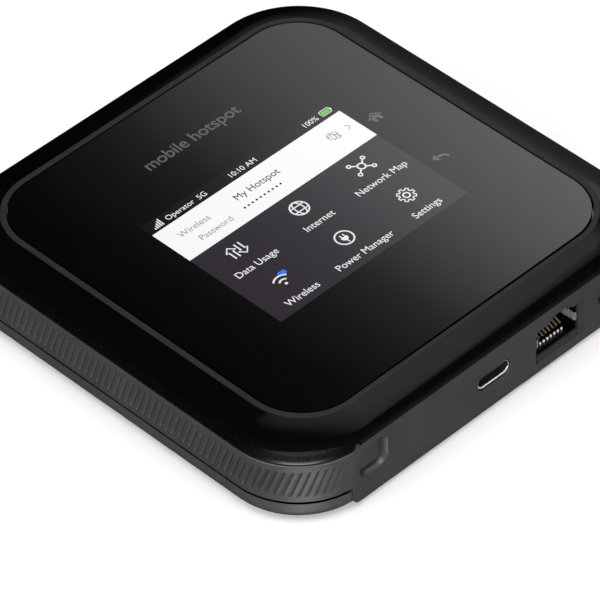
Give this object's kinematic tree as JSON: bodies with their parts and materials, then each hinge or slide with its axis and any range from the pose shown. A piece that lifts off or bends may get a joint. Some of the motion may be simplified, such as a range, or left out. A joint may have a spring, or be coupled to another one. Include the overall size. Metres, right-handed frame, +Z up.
{
  "type": "mobile hotspot",
  "caption": "Pocket wireless router: rounded square case with a glossy touch screen lid, a ribbed side band, and a port panel with USB-C, Ethernet and covered antenna sockets.",
  "frame": {"origin": "on the ground under the middle of the case", "axes": "+Z up through the screen, -Y towards the port panel, +X to the right when the ports face the viewer"},
  "size_m": [0.105, 0.105, 0.0214],
  "materials": {
    "lid": "polished black",
    "glass": "mirror-smooth black cover glass, opaque outside the screen",
    "screen": "smooth, dark",
    "backlight": "white diffuser",
    "foam": "soft foam",
    "frame": "stamped, satin",
    "band": "fine satin black",
    "panel": "fine satin black",
    "tray": "fine satin black",
    "chassis": "moulded black",
    "board": "green solder mask",
    "steel": "bright sheet",
    "chip": "black moulding",
    "copper": "copper foil, satin",
    "gold": "gold plated",
    "insulator": "milky white",
    "battery": "film-wrapped cell",
    "card": "white card",
    "rubber": "matt rubber"
  },
  "bodies": {
    "case": {"top_cover": "lid", "touch_glass": "glass", "lcd_panel": "screen", "backlight_unit": "backlight", "display_gasket": "foam", "display_frame": "frame", "display_flex": "copper", "side_band": "band", "port_panel": "panel", "inner_chassis": "chassis", "main_board": "board", "modem_can": "steel", "wifi_can": "steel", "power_can": "steel", "modem_chip": "chip", "wifi_chip": "chip", "thermal_pad": "foam", "heat_spreader": "copper", "usb_shell": "steel", "usb_tongue": "chassis", "rj45_housing": "chassis", "rj45_shield": "steel", "rj45_contact_1": "gold", "rj45_contact_2": "gold", "rj45_contact_3": "gold", "rj45_contact_4": "gold", "rj45_contact_5": "gold", "rj45_contact_6": "gold", "rj45_contact_7": "gold", "rj45_contact_8": "gold", "antenna_socket_left": "gold", "antenna_socket_right": "gold", "antenna_insulator_left": "insulator", "antenna_insulator_right": "insulator", "antenna_strip_front_left": "copper", "antenna_strip_front_right": "copper", "antenna_strip_back_left": "copper", "antenna_strip_back_right": "copper", "power_switch": "steel", "battery": "battery", "battery_connector": "gold", "sim_socket": "steel", "case_screw_1": "steel", "case_screw_2": "steel", "case_screw_3": "steel", "case_screw_4": "steel"},
    "power_button": {"power_button": "panel"},
    "antenna_cover_left": {"antenna_cover_left": "panel"},
    "antenna_cover_right": {"antenna_cover_right": "panel"},
    "sim_card": {"sim_card": "card"},
    "battery_cover": {"battery_cover": "tray", "foot_1": "rubber", "foot_2": "rubber", "foot_3": "rubber", "foot_4": "rubber"}
  },
  "joints": [
    {"name": "power_press", "type": "slide", "parent": "case", "child": "power_button", "axis": [0, -1, 0], "range_m": [0, 0.0004], "stiffness_N_per_m": 1500},
    {"name": "antenna_cover_left_swing", "type": "hinge", "parent": "case", "child": "antenna_cover_left", "pos_m": [-0.0342, -0.0506, 0.01065], "axis": [0, 0, -1], "range_deg": [0, 70]},
    {"name": "antenna_cover_right_swing", "type": "hinge", "parent": "case", "child": "antenna_cover_right", "pos_m": [0.0383, -0.0506, 0.01065], "axis": [0, 0, 1], "range_deg": [0, 70]},
    {"name": "sim_card_slide", "type": "slide", "parent": "case", "child": "sim_card", "axis": [0, -1, 0], "range_m": [0, 0.011]},
    {"name": "battery_cover_off", "type": "slide", "parent": "case", "child": "battery_cover", "axis": [0, 0, -1], "range_m": [0, 0.025]}
  ]
}
